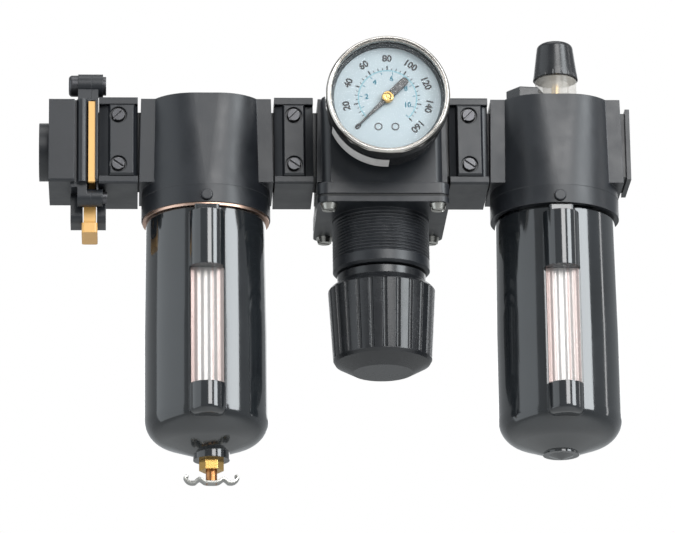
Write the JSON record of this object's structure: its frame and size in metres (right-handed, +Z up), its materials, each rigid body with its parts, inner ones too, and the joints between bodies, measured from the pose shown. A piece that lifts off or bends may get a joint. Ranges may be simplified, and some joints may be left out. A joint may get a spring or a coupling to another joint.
{
  "type": "filter regulator lubricator",
  "caption": "In-line compressed-air service unit: shut-off slide, filter, gauged pressure regulator and drip lubricator held by bolted clamps.",
  "frame": {"origin": "centre of the inlet port at its outer face", "axes": "+X along the air line towards the outlet, +Y towards the back away from the gauge, +Z up"},
  "size_m": [0.2626, 0.086, 0.206],
  "materials": {
    "body_paint": "semi-matt charcoal paint on die-cast zinc",
    "bowl_enamel": "gloss black enamel",
    "zinc_plate": "bright zinc plate",
    "black_steel": "blackened steel",
    "chrome": "polished",
    "brass": "machined",
    "copper": "dull copper tint",
    "yellow_plastic": "moulded",
    "black_plastic": "moulded",
    "gauge_black": "satin black paint",
    "dial_face": "printed white enamel",
    "silver_strip": "brushed",
    "clear_plastic": "clear moulded",
    "amber_dome": "clear moulded, faint amber",
    "seal_rubber": "moulded nitrile",
    "filter_media": "sintered"
  },
  "bodies": {
    "housing": {"bonnet_screws": "zinc_plate", "bourdon_tube": "brass", "bowl_o_rings": "seal_rubber", "clamp_jaw_inlet": "body_paint", "clamp_jaw_middle": "body_paint", "clamp_jaw_outlet": "body_paint", "clamp_screws": "black_steel", "clamp_spacers": "body_paint", "clamp_yoke_inlet": "body_paint", "clamp_yoke_middle": "body_paint", "clamp_yoke_outlet": "body_paint", "control_spring": "zinc_plate", "diaphragm": "seal_rubber", "element_retainer": "black_plastic", "filter_body": "body_paint", "filter_element": "filter_media", "filter_louver": "black_plastic", "filter_trim_ring": "copper", "flow_flap": "seal_rubber", "gauge_bezel": "chrome", "gauge_case": "gauge_black", "gauge_dial": "dial_face", "gauge_lens": "clear_plastic", "gauge_socket": "brass", "lubricator_body": "body_paint", "oil_strainer": "filter_media", "poppet_spring": "zinc_plate", "port_o_rings": "seal_rubber", "regulator_body": "body_paint", "regulator_bonnet": "body_paint", "regulator_valve_cap": "black_plastic", "sight_dome": "amber_dome", "siphon_tube": "filter_media", "slide_seals": "seal_rubber", "valve_bolts": "black_steel", "valve_inlet_half": "body_paint", "valve_outlet_half": "body_paint"},
    "slide": {"shutoff_slide": "yellow_plastic"},
    "filter_bowl_unit": {"filter_bowl": "bowl_enamel", "filter_sight_glass": "clear_plastic", "filter_sight_reflector": "silver_strip", "drain_nut": "brass"},
    "lubricator_bowl_unit": {"lubricator_bowl": "bowl_enamel", "lubricator_sight_glass": "clear_plastic", "lubricator_sight_reflector": "silver_strip"},
    "filter_button": {"filter_lock_button": "body_paint"},
    "lubricator_button": {"lubricator_lock_button": "body_paint"},
    "drain_valve": {"drain_stem": "copper", "drain_wing": "zinc_plate"},
    "adjuster": {"adjusting_screw": "zinc_plate"},
    "knob": {"pressure_knob": "black_plastic"},
    "spring_seat": {"spring_nut": "zinc_plate"},
    "valve_stem": {"regulator_poppet": "brass", "diaphragm_plate": "zinc_plate"},
    "pointer": {"gauge_pointer": "gauge_black"},
    "drip_adjuster": {"drip_knob": "black_plastic"},
    "needle": {"drip_needle": "brass"},
    "plug": {"fill_plug": "black_plastic"}
  },
  "joints": [
    {"name": "shutoff_slide_down", "type": "slide", "parent": "housing", "child": "slide", "axis": [0, 0, -1], "range_m": [0, 0.014]},
    {"name": "filter_bowl_twist", "type": "hinge", "parent": "housing", "child": "filter_bowl_unit", "pos_m": [0.0739, 0, -0.03], "axis": [0, 0, -1], "range_deg": [0, 45]},
    {"name": "lubricator_bowl_twist", "type": "hinge", "parent": "housing", "child": "lubricator_bowl_unit", "pos_m": [0.2291, 0, -0.03], "axis": [0, 0, -1], "range_deg": [0, 45]},
    {"name": "filter_button_press", "type": "slide", "parent": "housing", "child": "filter_button", "axis": [0, 1, 0], "range_m": [0, 0.001], "stiffness_N_per_m": 400},
    {"name": "lubricator_button_press", "type": "slide", "parent": "housing", "child": "lubricator_button", "axis": [0, 1, 0], "range_m": [0, 0.001], "stiffness_N_per_m": 400},
    {"name": "drain_turn", "type": "hinge", "parent": "filter_bowl_unit", "child": "drain_valve", "pos_m": [0.0759, 0, -0.15], "axis": [0, 0, 1], "range_deg": [0, 360]},
    {"name": "pressure_adjust", "type": "hinge", "parent": "housing", "child": "adjuster", "pos_m": [0.1515, 0, -0.07], "axis": [0, 0, 1], "range_deg": [0, 1081]},
    {"name": "knob_pull", "type": "slide", "parent": "adjuster", "child": "knob", "axis": [0, 0, -1], "range_m": [0, 0.003]},
    {"name": "spring_seat_travel", "type": "slide", "parent": "housing", "child": "spring_seat", "axis": [0, 0, 1], "range_m": [0, 0.0045], "deforming": ["control_spring"]},
    {"name": "valve_lift", "type": "slide", "parent": "housing", "child": "valve_stem", "axis": [0, 0, 1], "range_m": [0, 0.0012], "stiffness_N_per_m": 1500, "springref_m": -0.001, "deforming": ["poppet_spring"]},
    {"name": "pointer_sweep", "type": "hinge", "parent": "housing", "child": "pointer", "pos_m": [0.1525, -0.05, 0.008], "axis": [0, 1, 0], "range_deg": [0, 270], "stiffness_Nm_per_rad": 0.0002, "springref_deg": -34.38},
    {"name": "drip_adjust", "type": "hinge", "parent": "housing", "child": "drip_adjuster", "pos_m": [0.2316, 0.003, 0.045], "axis": [0, 0, 1], "range_deg": [0, 721]},
    {"name": "needle_lift", "type": "slide", "parent": "housing", "child": "needle", "axis": [0, 0, 1], "range_m": [0, 0.0015]},
    {"name": "fill_plug_lift", "type": "slide", "parent": "housing", "child": "plug", "axis": [0, 0, 1], "range_m": [0, 0.012]}
  ],
  "couplings": [
    {"joint": "pressure_adjust", "follows": "spring_seat_travel", "rad_per_m": 4188.8},
    {"joint": "drip_adjust", "follows": "needle_lift", "rad_per_m": 8377.6}
  ]
}
